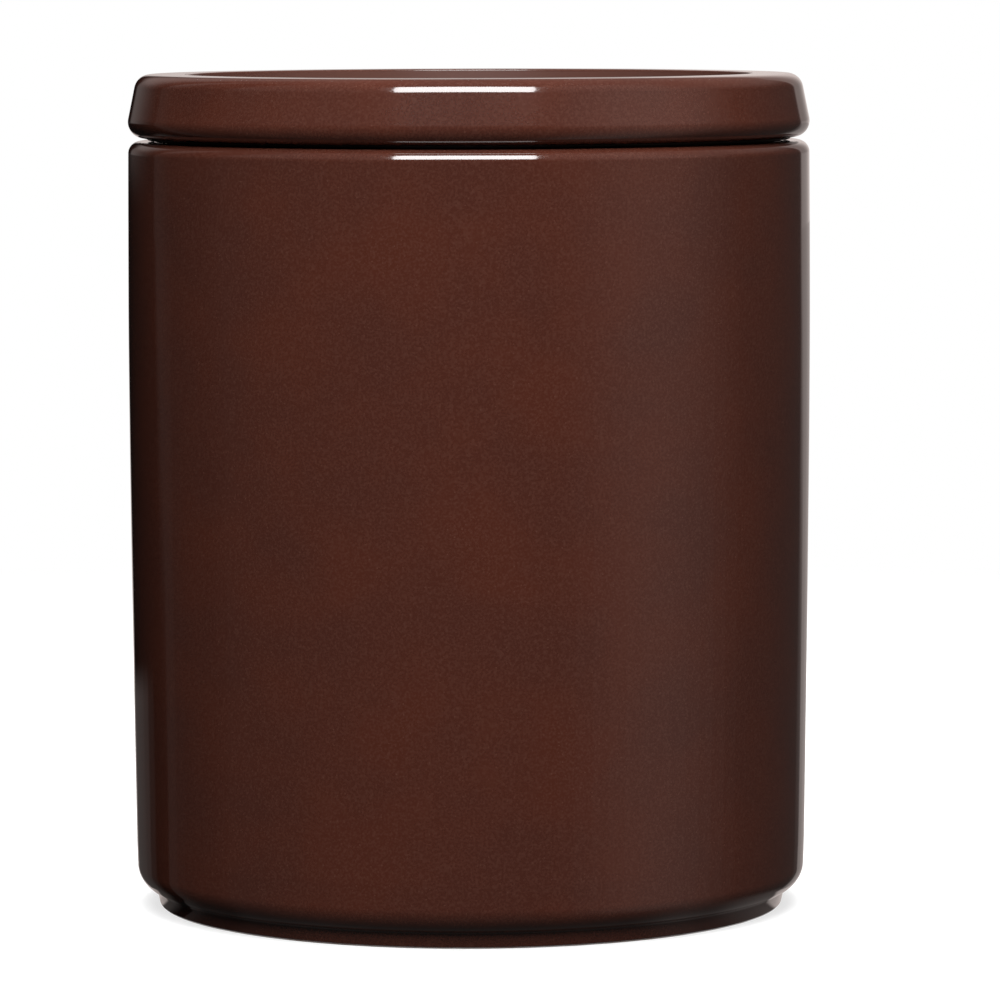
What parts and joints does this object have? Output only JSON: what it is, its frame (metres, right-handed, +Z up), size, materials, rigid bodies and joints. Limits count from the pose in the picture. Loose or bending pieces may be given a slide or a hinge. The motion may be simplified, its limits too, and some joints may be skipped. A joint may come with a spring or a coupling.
{
  "type": "storage jar",
  "caption": "Cylindrical glazed stoneware storage jar on a low foot ring, with a flat lid dished on top and a finned ring seal that fits the mouth.",
  "frame": {"origin": "centre of the foot ring, on the surface that the jar stands on", "axes": "+Z up along the jar's axis; the jar is round, so X and Y are any two directions across it, and the picture looks along +Y"},
  "size_m": [0.12, 0.12, 0.1464],
  "materials": {
    "glaze": "glossy reddish brown glaze with very fine paler specks over stoneware",
    "seal": "matt dark silicone"
  },
  "bodies": {
    "jar": {"jar_body": "glaze"},
    "lid": {"lid": "glaze", "sealing_ring": "seal"}
  },
  "joints": [
    {"name": "lid_lift", "type": "slide", "parent": "jar", "child": "lid", "axis": [0, 0, 1], "range_m": [0, 0.08]}
  ]
}
